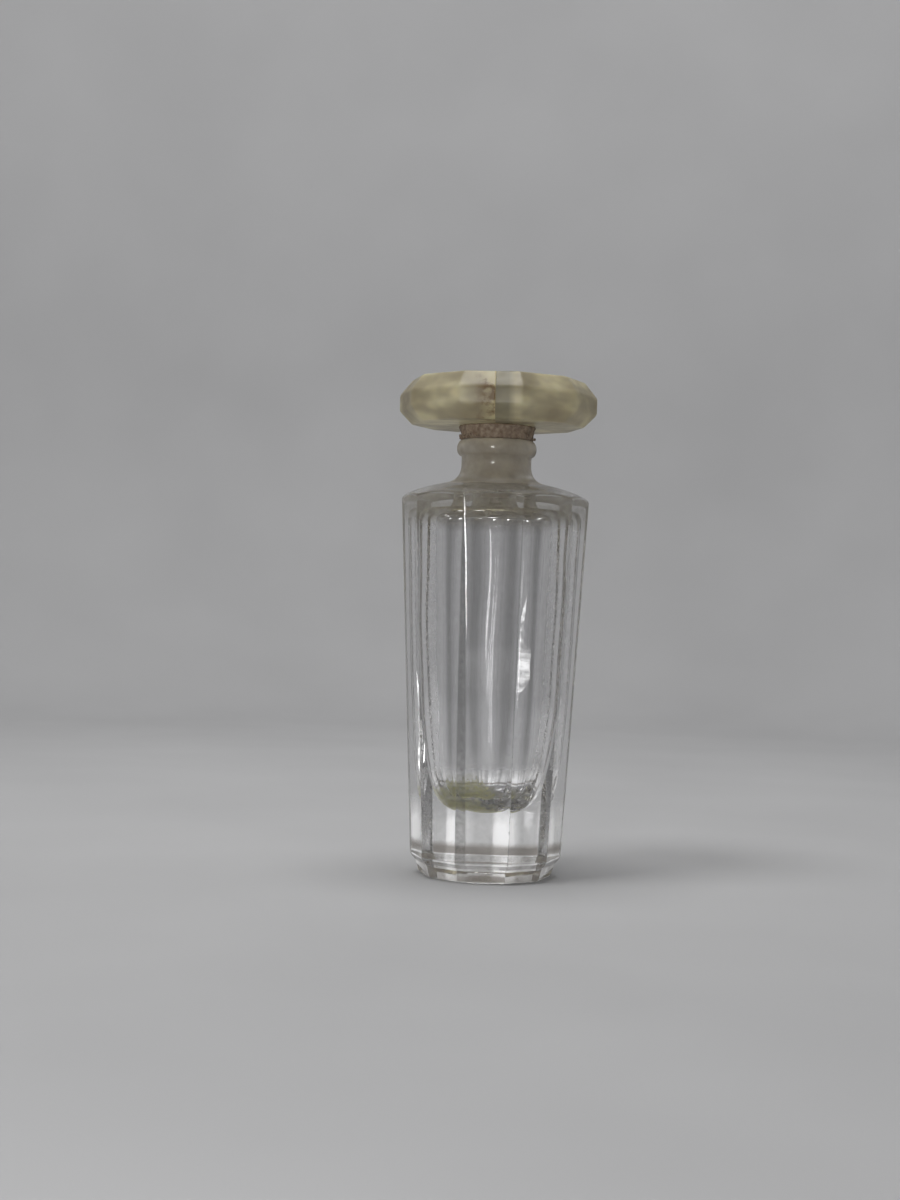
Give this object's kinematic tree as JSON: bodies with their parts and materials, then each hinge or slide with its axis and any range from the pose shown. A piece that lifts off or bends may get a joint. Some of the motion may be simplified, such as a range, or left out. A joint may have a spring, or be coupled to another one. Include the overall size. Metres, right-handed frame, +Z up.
{
  "type": "perfume bottle",
  "caption": "Miniature ten-sided tapered perfume bottle of clear pressed glass with a round cavity, a beaded neck and a wide faceted yellowed stopper on a ground plug.",
  "frame": {"origin": "centre of the foot's underside, on the surface the bottle stands on", "axes": "+Z up along the neck; -Y out of the front facet; +X to the right seen from the front"},
  "size_m": [0.0282, 0.0272, 0.07],
  "materials": {
    "clear_glass": "clear pressed glass, slightly grey, a little wavy, with soft worn edges",
    "yellowed_resin": "translucent moulded plastic, yellowed, cloudy and cracked inside, with a dull polish",
    "ground_glass": "frosted ground glass stained grey-brown",
    "brown_cork": "dark brown, dry and crumbling",
    "dried_perfume": "yellow-green dried film, patchy, half transparent"
  },
  "bodies": {
    "bottle": {"glass_bottle": "clear_glass", "perfume_crust": "dried_perfume"},
    "seal": {"seal_ring": "brown_cork"},
    "stopper": {"stopper_head": "yellowed_resin", "stopper_plug": "ground_glass"}
  },
  "joints": [
    {"name": "stopper_twist", "type": "hinge", "parent": "bottle", "child": "seal", "pos_m": [0, 0, 0.0615], "axis": [0, 0, 1], "continuous": true},
    {"name": "stopper_lift", "type": "slide", "parent": "seal", "child": "stopper", "axis": [0, 0, 1], "range_m": [0, 0.015]}
  ]
}
